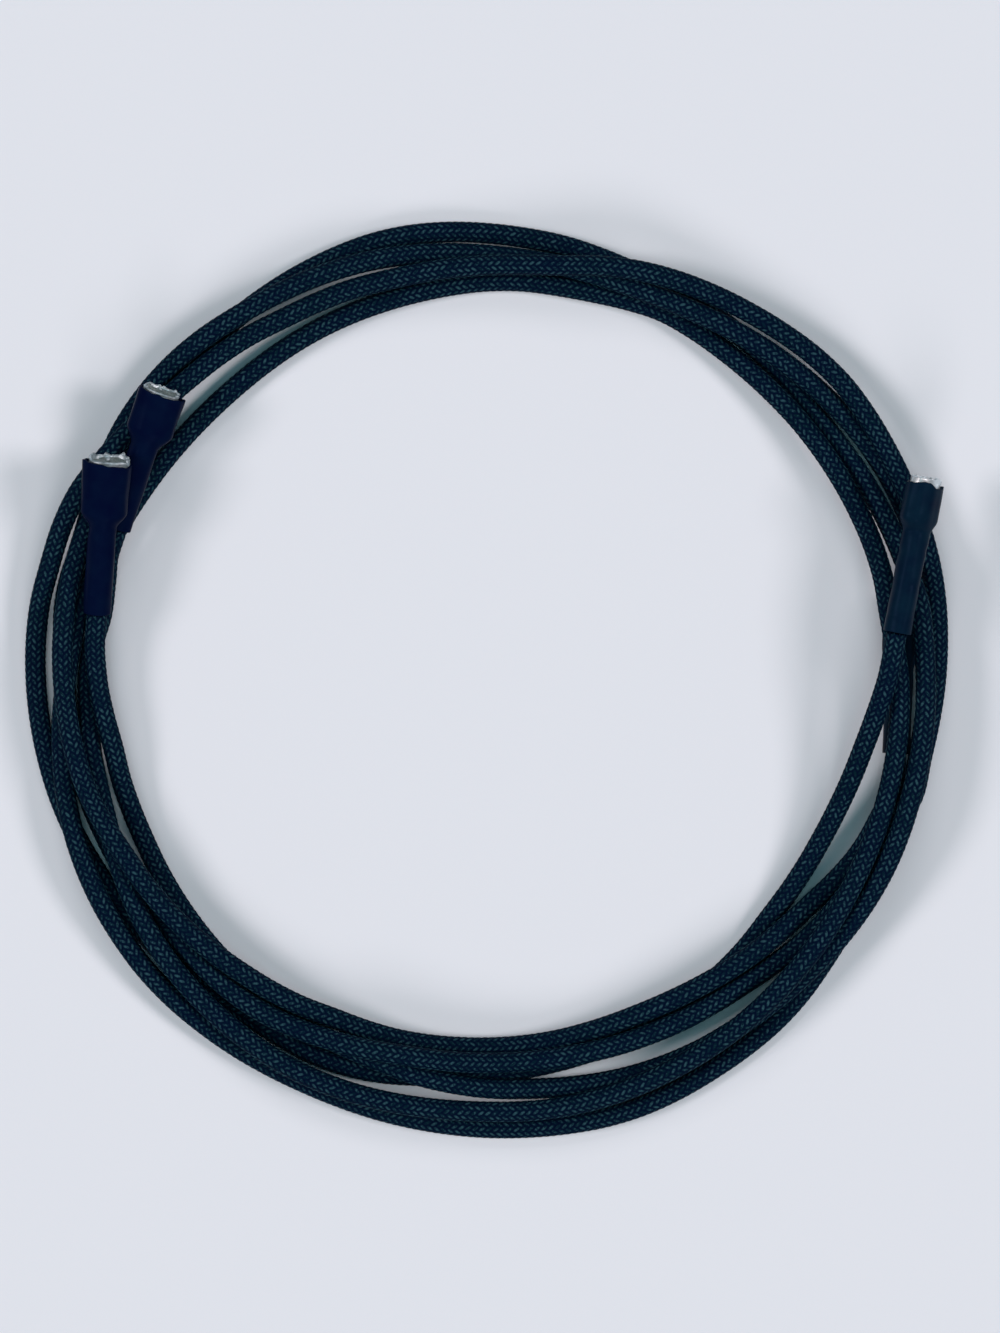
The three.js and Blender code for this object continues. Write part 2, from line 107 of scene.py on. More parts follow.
# A swing is degrees wound, strand widths out from the middle of the bundle, and
# how many strands the cord lies over.
SWINGS_ONE = [
    [10, -1.4, 1.2], [28, -1.95, 0], [54, -1.6, 0], [75, -1.2, 0], [95, -0.65, 0],
    [111, -0.3, 0], [130, 0.15, 0], [150, 1.05, 0], [165, 1.7, 0], [187, 2.15, 0.6],
    [197, 1.95, 1.4], [205, 1.7, 2], [218, 1.2, 2], [230, 0.9, 1.8], [241, 0.45, 0.8],
    [255, 0.45, 0.2], [268, 0.4, 1], [278, 0.5, 1.4], [286, 0.9, 1.6], [305, 1.9, 1],
    [315, 2.25, 1], [326, 2.3, 1], [345, 2.2, 1], [360, 1.7, 1], [368, 1.3, 1],
    [378, 0.75, 0.5], [390, 0.1, 0], [401, -0.5, 0], [420, -1.1, 0.5], [432, -1.25, 1],
    [452, -1.3, 1.2], [465, -1.05, 2], [475, -0.8, 2], [485, -0.5, 1.6], [498, -0.2, 1],
    [512, 0.1, 0.2], [524, 0.25, 0], [540, 0.5, 0], [560, 0.85, 0], [575, 1.1, 0],
    [596, 1.65, 0], [615, 1.9, 0], [635, 1.55, 0], [650, 1.15, 0], [682, 0.65, 0],
    [705, 1.0, 1], [727, 1.25, 2], [745, 1.15, 2], [755, 1.1, 1], [770, 0.95, 0.7],
    [790, 0.5, 0.5], [804, 0.05, 0.6], [823, -0.55, 1], [845, -0.95, 0], [875, -1.35, 0.3],
    [885, -1.2, 0.7], [895, -0.9, 1.2],
]
SWINGS_TWO = [
    [25, 0.15, 1], [35, -0.6, 1.3], [50, -1.5, 1.5], [60, -1.8, 1], [72, -2.0, 0.6],
    [90, -2.0, 0], [105, -1.8, 0], [120, -1.4, 0.6], [135, -1.0, 1], [145, -0.65, 1.2],
    [155, -0.25, 1.6], [165, 0.3, 1.6], [180, 0.7, 1.6], [200, 1.1, 1], [225, 1.5, 1],
    [245, 1.5, 1], [255, 1.35, 0.9], [265, 1.1, 0.4], [275, 0.75, 0], [288, 0.5, 0],
    [300, 0.75, 0.3], [310, 1.1, 0.8], [327, 1.8, 0.3], [338, 1.95, 0], [350, 1.8, 0],
    [365, 1.3, 0], [390, 1.0, 0], [410, 1.45, 0], [430, 1.95, 0], [445, 1.8, 0],
    [460, 1.6, 0], [474, 1.5, 0], [490, 1.7, 0], [500, 1.8, 0], [520, 1.5, 1],
    [535, 0.9, 1], [545, 0.45, 1], [556, -0.05, 0.3], [570, -0.6, 0], [587, -0.9, 0],
    [605, -0.75, 0], [620, -0.55, 0], [635, -0.15, 0], [653, 0.25, 0], [666, 0.05, 0],
    [690, -0.05, 0], [705, 0, 0.5], [729, 0.15, 1.5], [745, 0.35, 1.4], [761, 0.55, 1],
    [775, 0.75, 1], [795, 0.95, 1], [810, 0.9, 0.6], [835, 1.15, 1], [850, 0.95, 1],
    [860, 0.7, 1], [870, 0.3, 0.8], [880, -0.1, 0.5], [895, -0.3, 0.2], [903, -0.25, 0.2],
]

# Each end is straight from the cord's cut to the sleeve's mouth, both given as
# degrees wound and strand widths out. Then come the strands it lies over, its
# climb, and the degrees by which its oval is rolled.
END_C = {"cut": (-6.9, -0.03), "mouth": (-23.9, 2.98), "level": 3, "rise": 0.05, "roll": 60}
END_A = {"cut": (910, -0.55), "mouth": (930, 1.35), "level": 3, "rise": 0.26, "roll": 0}
END_D = {"cut": (10, 0.2), "mouth": (-10, 0.5), "level": 0, "rise": 0, "roll": 60}
END_B = {"cut": (922.5, -0.35), "mouth": (941, 1.1), "level": 2, "rise": 0.2, "roll": 0}


def cubic(t, start, leaving, finish, arriving):
    t2, t3 = t * t, t * t * t
    return (start * (2 * t3 - 3 * t2 + 1) + leaving * (t3 - 2 * t2 + t)
            + finish * (3 * t2 - 2 * t3) + arriving * (t3 - t2))


def swing_at(rows, degrees, column):
    i = 0
    while i < len(rows) - 2 and degrees > rows[i + 1][0]:
        i += 1

    def slope(j):
        before, after = rows[max(j - 1, 0)], rows[min(j + 1, len(rows) - 1)]
        return (after[column] - before[column]) / (after[0] - before[0])

    span = rows[i + 1][0] - rows[i][0]
    t = (degrees - rows[i][0]) / span
    return cubic(t, rows[i][column], slope(i) * span, rows[i + 1][column], slope(i + 1) * span)


def plan_point(degrees, radius):
    angle = -math.radians(degrees)
    return np.array([radius * math.cos(angle), radius * math.sin(angle)])


def end_line(end):
    cut = plan_point(end["cut"][0], RING + end["cut"][1] * STRAND)
    mouth = plan_point(end["mouth"][0], RING + end["mouth"][1] * STRAND)
    along = (mouth - cut) / np.linalg.norm(mouth - cut)
    return cut, along


def on_line(line, degrees):
    cut, along = line
    ray = plan_point(degrees, 1)
    cross = along[0] * ray[1] - along[1] * ray[0]
    radius = (along[0] * cut[1] - along[1] * cut[0]) / cross
    return radius, float(np.dot(radius * ray - cut, along))


def smooth(x):
    x = np.clip(x, 0, 1)
    return x * x * (3 - 2 * x)


# How far a sleeve is opened from the round over the cord to the oval at its mouth,
# and half its width and height there.
def sleeve_opened(past_cut, wide_length=SLEEVE_WIDE_LENGTH, taper=SLEEVE_TAPER):
    opened = smooth((past_cut - (SLEEVE_LENGTH - wide_length) + taper) / taper)
    narrow = CORD / 2 + RUNNING_GAP + SLEEVE_WALL
    wide, high = (narrow + (size / 2 - narrow) * opened for size in SLEEVE_WIDE)
    return opened, wide, high


def rolled_half(wide, high, roll):
    cosine, sine = math.cos(math.radians(roll)), math.sin(math.radians(roll))
    room = RUNNING_GAP + ROLL_ROOM * abs(2 * sine * cosine)
    return math.hypot(wide * cosine, high * sine) + room, math.hypot(wide * sine, high * cosine) + room


def strand_points(swings, first, last):
    ends = {"first": first, "last": last}
    lines = {name: end_line(end) for name, end in ends.items()}
    head, tail = first["cut"][0] + LEAD_IN, last["cut"][0] - LEAD_IN
    rows = [
        [head, (on_line(lines["first"], head)[0] - RING) / STRAND, first["level"]],
        *swings,
        [tail, (on_line(lines["last"], tail)[0] - RING) / STRAND, last["level"]],
    ]
    lowest = round(first["cut"][0] / LAY_STEP) - END_REACH
    highest = round(last["cut"][0] / LAY_STEP) + END_REACH
    points = []
    for i in range(lowest, highest + 1):
        degrees = i * LAY_STEP
        rigid = "first" if degrees <= head else "last" if degrees >= tail else None
        wide, high, floor, past_cut = CORD / 2, CORD / 2, LIE_HEIGHT, 0.0
        if rigid:
            level = ends[rigid]["level"]
            radius, past_cut = on_line(lines[rigid], degrees)
            beyond_cut = degrees < first["cut"][0] or degrees > last["cut"][0]
            if beyond_cut and past_cut > SLEEVE_LENGTH + CUP_PROUD:
                continue
            if past_cut > TINY:
                _, wide, high = sleeve_opened(past_cut)
                wide, high = rolled_half(wide, high, ends[rigid]["roll"])
                floor = high
        else:
            radius = RING + swing_at(rows, degrees, 1) * STRAND
            level = swing_at(rows, degrees, 2)
        points.append({
            "degrees": degrees, "aim": radius, "z": floor + max(level, 0) * CORD * LAYER_SHARE,
            "wide": wide, "high": high, "floor": floor, "past_cut": past_cut, "rigid": rigid,
        })
    return points


def neighbours(values):
    return np.concatenate([values[:1], values[:-1]]), np.concatenate([values[1:], values[-1:]])


class Strand:
    def __init__(self, swings, first, last):
        points = strand_points(swings, first, last)
        self.first, self.last = first, last
        self.degrees, self.aim, self.z, self.wide, self.high, self.floor, self.past_cut = (
            np.array([point[key] for point in points], dtype=float)
            for key in ("degrees", "aim", "z", "wide", "high", "floor", "past_cut")
        )
        self.radius = self.aim.copy()
        self.rigid = {
            name: np.array([point["rigid"] == name for point in points]) for name in ("first", "last")
        }
        self.free = ~(self.rigid["first"] | self.rigid["last"])
        before, after = neighbours(self.aim)
        step_before, step_after = neighbours(self.degrees)
        slope = (after - before) / (np.radians(step_after - step_before) * self.aim)
        self.square = 1 / np.hypot(1, slope)

    def straighten(self):
        for part, end in ((self.rigid["first"], self.first), (self.rigid["last"], self.last)):
            climb = end["rise"] * self.past_cut[part]
            self.z[part] = max((self.z[part] - climb).mean(), (self.floor[part] - climb).max()) + climb

    def place(self, i):
        x, y = plan_point(self.degrees[i], self.radius[i])
        return Vector((x, y, self.z[i]))

    def end_frame(self, name):
        end = self.first if name == "first" else self.last
        cut, along = end_line(end)
        i = np.where(self.rigid[name])[0][0]
        axis = Vector((along[0], along[1], end["rise"])).normalized()
        level = Vector((0, 0, 1)).cross(axis).normalized()
        side = Matrix.Rotation(math.radians(end["roll"]), 3, axis) @ level
        origin = Vector((cut[0], cut[1], self.z[i] - end["rise"] * self.past_cut[i]))
        return {"origin": origin, "axis": axis, "side": side, "up": axis.cross(side)}


def joined(strands, name):
    return np.concatenate([getattr(strand, name) for strand in strands])


def pairs_on_a_ray(degrees):
    ray = np.round(degrees / LAY_STEP).astype(int) % round(360 / LAY_STEP)
    pairs = []
    for one_ray in np.unique(ray):
        here = np.where(ray == one_ray)[0]
        for n, i in enumerate(here):
            pairs += [(i, j) for j in here[n + 1:]]
    return np.array(pairs).T


# Strands that would meet on one ray from the middle are pushed apart, all of them
# sink to the table, and their bends are evened, until they have settled.
def settle(strands):
    starts = np.cumsum([0] + [len(strand.degrees) for strand in strands])
    degrees = joined(strands, "degrees")
    one, other = pairs_on_a_ray(degrees)
    wide, high, square = (joined(strands, name) for name in ("wide", "high", "square"))
    clear_wide, clear_high = wide[one] + wide[other] + LAY_GAP, high[one] + high[other] + LAY_GAP
    squash = np.minimum(square[one], square[other]) * clear_high / clear_wide
    for turn in range(SETTLE_ROUNDS):
        calm = turn > SETTLE_ROUNDS * CALM_SHARE
        sink, pull, ease = (0, CALM_PULL, CALM_EASE) if calm else (SINK, PULL, EASE)
        radius, z = joined(strands, "radius"), joined(strands, "z")
        out, up = (radius[one] - radius[other]) * squash, z[one] - z[other]
        apart = np.maximum(np.hypot(out, up), HAIR)
        push = np.where(apart < clear_high, (clear_high - apart) / 2, 0) / apart
        push_out, push_up, touches = (np.zeros(len(degrees)) for _ in range(3))
        for where, sign in ((one, 1), (other, -1)):
            np.add.at(push_out, where, sign * push * out)
            np.add.at(push_up, where, sign * push * up)
            np.add.at(touches, where, apart < clear_high)
        share = np.where(touches > 0, PUSH_SHARE / np.sqrt(np.maximum(touches, 1)), 0)
        for n, strand in enumerate(strands):
            mine = slice(starts[n], starts[n + 1])
            offset = strand.radius - strand.aim
            bend_z = sum(neighbours(strand.z)) / 2 - strand.z
            bend_out = sum(neighbours(offset)) / 2 - offset
            strand.z += ease * bend_z + share[mine] * push_up[mine] - sink
            radius = strand.radius + ease * bend_out + share[mine] * push_out[mine]
            radius += pull * (strand.aim - radius)
            strand.radius = np.where(strand.free, radius, strand.radius)
            strand.z = np.maximum(strand.z, strand.floor)
            strand.straighten()


def middle_line(strand):
    first, last = strand.end_frame("first"), strand.end_frame("last")
    straight, clear = 1.2 * CORD, LEAD_IN + 0.1
    rings = [
        strand.place(i) for i, degrees in enumerate(strand.degrees)
        if degrees % RING_STEP == 0
        and strand.first["cut"][0] + clear < degrees < strand.last["cut"][0] - clear
    ]
    return [
        first["origin"], first["origin"] - first["axis"] * straight, *rings,
        last["origin"] - last["axis"] * straight, last["origin"],
    ]


# A fine even route through the points of a middle line, by a cubic that passes
# each of them.
def fine_route(line, spacing=0.0010):
    knots = np.array([tuple(v) for v in line])
    u = np.concatenate([[0], np.cumsum(np.linalg.norm(np.diff(knots, axis=0), axis=1))])
    slope = np.zeros_like(knots)
    slope[1:-1] = (knots[2:] - knots[:-2]) / (u[2:] - u[:-2])[:, None]
    slope[0] = (knots[1] - knots[0]) / (u[1] - u[0])
    slope[-1] = (knots[-1] - knots[-2]) / (u[-1] - u[-2])
    slope[1], slope[-2] = slope[0], slope[-1]
    at = np.linspace(0, u[-1], int(u[-1] / spacing))
    i = np.clip(np.searchsorted(u, at, side="right") - 1, 0, len(u) - 2)
    span = (u[i + 1] - u[i])[:, None]
    t = ((at - u[i]) / span[:, 0])[:, None]
    return cubic(t, knots[i], slope[i] * span, knots[i + 1], slope[i + 1] * span)


# The braid's own surface, as a mesh whose edges run with the yarns. Twelve yarn
# bundles wind each way, and each passes over two and under two, so the floats
# stand in rows of small arrows. Its UV map counts bundles in the two directions.
YARNS = 12
LEAD = 0.0246  # along the cord, in which a bundle goes once round
RELIEF = 0.00017  # from a valley of the braid to the top of a float
FLOAT_END = 0.75  # of the relief, at the ends of a float
AT_RADIUS = 0.6  # of the relief, which lies at the cord's own radius


# The surface at a point given in half bundles in the two directions: 1 on top of
# the middle of a float, and 0 in the valleys between the bundles.
def braid_height(halves_left, halves_right):
    along_left = (halves_right + 2 * (halves_left // 2)) % 8
    along_right = (halves_left + 2 * (halves_right // 2)) % 8
    on_left = (halves_left % 2 == 1) & (along_left > 0) & (along_left < 4)
    on_right = (halves_right % 2 == 1) & (along_right > 4)
    middle = (on_left & (along_left == 2)) | (on_right & (along_right == 6))
    return np.where(middle, 1.0, np.where(on_left | on_right, FLOAT_END, 0.0))


def braided_tube(name, route):
    travelled = np.concatenate([[0], np.cumsum(np.linalg.norm(np.diff(route, axis=0), axis=1))])
    ahead = np.gradient(route, axis=0)
    ahead /= np.linalg.norm(ahead, axis=1)[:, None]
    side = np.cross([0, 0, 1], ahead)
    side /= np.linalg.norm(side, axis=1)[:, None]
    up = np.cross(ahead, side)
    around = 2 * YARNS
    rows = int(travelled[-1] / (LEAD / (4 * YARNS)))
    row = np.repeat(np.arange(rows + 1), around)
    turn = np.tile(np.arange(around) * 2, rows + 1) + row % 2
    at = row / rows * travelled[-1]
    centre, across, over = (
        np.stack([np.interp(at, travelled, line[:, k]) for k in range(3)], 1) for line in (route, side, up)
    )
    angle = turn / (4 * YARNS) * 2 * math.pi
    radius = CORD / 2 + RELIEF * (braid_height((turn + row) // 2, (turn - row) // 2) - AT_RADIUS)
    outward = np.cos(angle)[:, None] * across + np.sin(angle)[:, None] * over
    verts = centre + outward * radius[:, None]
    verts[:, 2] = np.maximum(verts[:, 2], 0)  # flat where it lies on the table
    k, row = np.tile(np.arange(around), rows - 1), np.repeat(np.arange(rows - 1), around)
    odd = row % 2
    right, left = (row + 1) * around + (k + odd) % around, (row + 1) * around + (k + odd - 1) % around
    faces = np.stack([row * around + k, right, (row + 2) * around + k, left], 1)
    turn = k * 2 + odd
    corners = [(turn, row), (turn + 1, row + 1), (turn, row + 2), (turn - 1, row + 1)]
    weave = [np.stack([(turns + steps) / 4, (turns - steps) / 4], 1) for turns, steps in corners]
    weave = np.stack(weave, 1).reshape(-1, 2)
    first_hub, last_hub = len(verts), len(verts) + 1
    verts = np.concatenate([verts, [route[0], route[-1]]])
    caps = []
    last_row, last_odd = (rows - 1) * around, (rows - 1) % 2
    for j in range(around):
        following = (j + 1) % around
        caps += [(first_hub, around + j, j), (first_hub, following, around + j)]
        between = rows * around + (j + last_odd) % around
        caps += [(last_hub, last_row + j, between), (last_hub, between, last_row + following)]
    mesh = bpy.data.meshes.new(name)
    mesh.from_pydata(verts.tolist(), [], faces.tolist() + caps)
    uv = mesh.uv_layers.new(name="braid")
    flat = np.concatenate([weave, np.zeros((3 * len(caps), 2))]).astype(np.float32)
    uv.data.foreach_set("uv", flat.ravel())
    mesh.polygons.foreach_set("use_smooth", [True] * len(faces) + [False] * len(caps))
    mesh.update()
    return put_in_scene(name, mesh)


# Shader maths: a socket that can be added, multiplied and so on.
class Value:
    def __init__(self, shade, socket):
        self.shade, self.socket = shade, socket

    def math(self, operation, *others):
        given = dict(enumerate((self, *others)))
        return self.shade.node("ShaderNodeMath", {"operation": operation}, given)

    def __add__(self, other):
        return self.math("ADD", other)

    def __sub__(self, other):
        return self.math("SUBTRACT", other)

    def __rsub__(self, other):
        return self.shade.node("ShaderNodeMath", {"operation": "SUBTRACT"}, {0: other, 1: self})

    def __mul__(self, other):
        return self.math("MULTIPLY", other)

    def __truediv__(self, other):
        return self.math("DIVIDE", other)

    __radd__ = __add__
    __rmul__ = __mul__


class Shade:
    def __init__(self, name):
        self.material = bpy.data.materials.new(name)
        self.material.use_nodes = True
        self.tree = self.material.node_tree
        self.surface = self.tree.nodes["Principled BSDF"]

    def put(self, socket, value):
        if isinstance(value, Value):
            self.tree.links.new(value.socket, socket)
        else:
            socket.default_value = (*value, 1) if isinstance(value, tuple) else value

    def node(self, kind, settings, inputs, output=0):
        made = self.tree.nodes.new(kind)
        for key, value in settings.items():
            setattr(made, key, value)
        for key, value in inputs.items():
            self.put(made.inputs[key], value)
        return Value(self, made.outputs[output])

    def uv(self, name):
        place = self.node("ShaderNodeUVMap", {"uv_map": name}, {})
        return [self.node("ShaderNodeSeparateXYZ", {}, {0: place}, axis) for axis in ("X", "Y")]

    def chance(self, one, two, three):
        key = self.node("ShaderNodeCombineXYZ", {}, {0: one, 1: two, 2: three})
        return self.node("ShaderNodeTexWhiteNoise", {"noise_dimensions": "3D"}, {"Vector": key})

    def noise(self, scale, detail):
        where = self.node("ShaderNodeTexCoord", {}, {}, "Object")
        return self.node("ShaderNodeTexNoise", {}, {"Vector": where, "Scale": scale, "Detail": detail}, "Fac")

    def blend(self, factor, one, two):
        return self.node("ShaderNodeMix", {"data_type": "RGBA"}, {0: factor, 6: one, 7: two}, 2)

    def feed(self, **sockets):
        for name, value in sockets.items():
            self.put(self.surface.inputs[name.replace("_", " ")], value)

    def relief(self, height, depth, strength):
        given = {"Height": height, "Distance": depth, "Strength": strength}
        self.feed(Normal=self.node("ShaderNodeBump", {}, given, "Normal"))


# The yarns: teal on their floats, with painted shade in dark navy in their valleys and a
# painted highlight, paler, where some floats stand highest; each bundle is a few ends side by side.
def braid_finish(name):
    shade = Shade(name)
    left, right = shade.uv("braid")
    bundle_left, bundle_right = left.math("FLOOR"), right.math("FLOOR")
    over = ((bundle_left + bundle_right) / 4).math("FRACT").math("LESS_THAN", 0.4)
    across_left, across_right = left - bundle_left - 0.5, right - bundle_right - 0.5
    turns_left, turns_right = (right + bundle_left) / 4, (left + bundle_right - 2) / 4
    along_left = turns_left.math("FRACT") * (2 * math.pi)
    along_right = turns_right.math("FRACT") * (2 * math.pi)
    float_left = (1 - across_left * across_left * 3.6) * (along_left.math("SINE") * 0.7 + 0.3)
    float_right = (1 - across_right * across_right * 3.6) * (along_right.math("SINE") * 0.7 + 0.3)
    height = over * float_left + (1 - over) * float_right
    own = (over * shade.chance(bundle_left, turns_left.math("FLOOR"), 0.5)
           + (1 - over) * shade.chance(bundle_right, turns_right.math("FLOOR"), 7.5))
    yarn_ends = (over * (left * (6 * math.pi)).math("COSINE")
                 + (1 - over) * (right * (6 * math.pi)).math("COSINE"))
    fleck = shade.noise(1900.0, 2.0)
    patch = shade.noise(70.0, 3.0)
    teal_yarn, navy_yarn = (0.0015, 0.0172, 0.0238), (0.0011, 0.0100, 0.0295)
    # Of these two, the first is painted shade for the valleys, the second a painted highlight for float tops.
    painted_valley_shade, painted_highlight = (0.0004, 0.0033, 0.0190), (0.030, 0.098, 0.127)
    yarn = shade.blend(patch, teal_yarn, navy_yarn)
    # Painted shade: the colour darkens towards the valleys, where the floats stand lowest.
    colour = shade.blend((height * 1.15 - 0.1).math("MAXIMUM", 0), painted_valley_shade, yarn)
    # Painted highlight: the highest part of some floats, picked at random, is made paler.
    top = ((height - 0.52) * 1.9).math("MAXIMUM", 0)
    sparkle = (fleck * 3.4 + own * 0.9 - 1.72).math("MAXIMUM", 0)
    colour = shade.blend((top * sparkle).math("MINIMUM", 0.7), colour, painted_highlight)
    shade.feed(Base_Color=colour, Roughness=0.60 - height * 0.16, Specular_IOR_Level=0.01)
    shade.relief(height + yarn_ends * 0.10 + fleck * 0.12, 0.00016, 0.65)
    return shade.material


strand_one = Strand(SWINGS_ONE, END_C, END_A)
strand_two = Strand(SWINGS_TWO, END_D, END_B)
settle([strand_one, strand_two])
route_one, route_two = (fine_route(middle_line(strand)) for strand in (strand_one, strand_two))

# The part's origin is the middle of its outline, so the ring moves there.
low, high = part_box("cord_one")
slide = [(low[k] + high[k]) / 2 - (route_one[:, k].min() + route_one[:, k].max()) / 2 for k in range(2)]
shift = Vector((*slide, 0))
for route in (route_one, route_two):
    route += np.array(shift)

braid = braid_finish("braid")
ends = {
    "c": strand_one.end_frame("first"), "a": strand_one.end_frame("last"),
    "d": strand_two.end_frame("first"), "b": strand_two.end_frame("last"),
}
for end in ends.values():
    end["origin"] = end["origin"] + shift
for name, node, route in (
    ("braided_cord_one", "cord_one", route_one),
    ("braided_cord_two", "cord_two", route_two),
):
    cord = braided_tube(name, route)
    cord.data.materials.append(braid)
    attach(cord, "root")
    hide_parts(node)


# ---- The cords' ends inside the sleeves ----
# Each cord runs on into its sleeve, where the braid stops and the tinned screen,
# the core and the wire step back one after the other, soldered to the metal end.
STUB_LENGTH = 0.016
STUB_STEPS = 16
for letter, end in ends.items():
    along = np.linspace(0, STUB_LENGTH, STUB_STEPS + 1)[:, None]
    stub = braided_tube("braided_end_" + letter, np.array(end["origin"]) + along * np.array(end["axis"]))
    stub.data.materials.append(braid)
    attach(stub, "root")
    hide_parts("cord_end_" + letter)


def plain_finish(name, dark, light, scale, roughness, metallic=0.0):
    shade = Shade(name)
    mottle = shade.noise(scale, 4.0)
    colour = shade.blend(mottle, dark, light)
    shade.feed(Base_Color=colour, Roughness=mottle * 0.2 + (roughness - 0.1), Metallic=metallic)
    shade.relief(mottle, 0.00002, 0.5)
    return shade.material


inner_finishes = {
    "screen": plain_finish("tinned_screen", (0.36, 0.37, 0.38), (0.62, 0.63, 0.64), 2500.0, 0.4, 1.0),
    "core": plain_finish("core_insulation", (0.60, 0.58, 0.53), (0.72, 0.70, 0.66), 300.0, 0.45),
    "conductor": plain_finish("bare_copper", (0.50, 0.24, 0.13), (0.72, 0.40, 0.24), 900.0, 0.35, 1.0),
}
for kind, finish in inner_finishes.items():
    for letter in ends:
        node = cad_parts[kind + "_" + letter]
        node.data.materials.clear()
        node.data.materials.append(finish)


# ---- The shrink sleeves ----
# A 45 mm piece of heat-shrink tubing over each end, blue-black and satin. It is
# shrunk tight round the cord and oval over the metal end, its mouth cut by hand.

# Each as it shrank: the length of its wide part, the slope down to the cord,
# where its mouth is along it, and the share by which the metal end flares it.
SLEEVES = {
    "a": {"wide": 0.0137, "taper": 0.0050, "mouth": 0.0462, "flare": 0.06},
    "b": {"wide": 0.0135, "taper": 0.0056, "mouth": 0.0430, "flare": 0.045},
    "c": {"wide": 0.0104, "taper": 0.0042, "mouth": 0.0450, "flare": 0.0},
    "d": {"wide": 0.0137, "taper": 0.0060, "mouth": 0.0450, "flare": 0.0},
}

# How far the cut of each mouth stands out, by the distance across the sleeve.
MOUTH_CUTS = {
    "a": [(-0.007, 0.0007), (0.0, 0.0), (0.007, -0.0006)],
    "b": [(-0.007, 0.0002), (0.001, -0.0002), (0.007, 0.0)],
    "c": [(-0.0055, -0.0003), (0.0013, 0.0008), (0.0034, -0.0009), (0.0055, -0.0008)],
    "d": [(-0.0055, 0.0), (0.0055, 0.0)],
}

# Creases: where each is along the sleeve, how wide, how far it stands in or out,
# and where round the sleeve it is deepest, in radians.
CREASES = {
    "a": [(0.0245, 0.0011, -0.00016, 0.6), (0.0290, 0.0013, 0.00012, 2.0), (0.0052, 0.0006, 0.00010, 1.3)],
    "b": [(0.0240, 0.0012, -0.00015, 1.0), (0.0310, 0.0016, 0.00010, 2.6)],
    "c": [(0.0300, 0.0009, -0.00026, 0.9), (0.0248, 0.0010, -0.00018, 2.2), (0.0140, 0.0011, -0.00013, 1.2),
          (0.0060, 0.0009, -0.00015, 2.8), (0.0352, 0.0010, 0.00014, 0.4)],
    "d": [(0.0240, 0.0012, -0.00014, 1.8)],
}
SLEEVE_SEED = 40


def phases(seed):
    return np.random.default_rng(seed).uniform(0, 2 * math.pi, 8)


# Seen from above, how far a point of an end's section is to the right of its
# middle, and how far it is above it.
def across_and_above(end, x, y):
    right = end["axis"].cross(Vector((0, 0, 1))).normalized()
    return x * end["side"].dot(right) + y * end["up"].dot(right), x * end["side"].z + y * end["up"].z


# A body from rows of points round an end's axis. Its rows join up in a loop, or
# the first and the last are closed by a fan.
def closed_rows(name, end, x, y, along, loop=False):
    count, around = x.shape
    axis, side, up, origin = (np.array(end[key]) for key in ("axis", "side", "up", "origin"))
    verts = origin + x[..., None] * side + y[..., None] * up + along[..., None] * axis
    verts = verts.reshape(-1, 3).tolist()
    faces = []
    for i in range(count if loop else count - 1):
        here, there = i * around, (i + 1) % count * around
        for k in range(around):
            following = (k + 1) % around
            faces.append((here + k, here + following, there + following, there + k))
    if not loop:
        for row, flip in ((0, False), (count - 1, True)):
            hub = len(verts)
            verts.append(np.mean(verts[row * around:(row + 1) * around], axis=0).tolist())
            for k in range(around):
                a, b = row * around + k, row * around + (k + 1) % around
                faces.append((hub, a, b) if flip else (hub, b, a))
    mesh = bpy.data.meshes.new(name)
    mesh.from_pydata(verts, [], faces)
    mesh.polygons.foreach_set("use_smooth", [True] * len(faces))
    mesh.update()
    return put_in_scene(name, mesh)


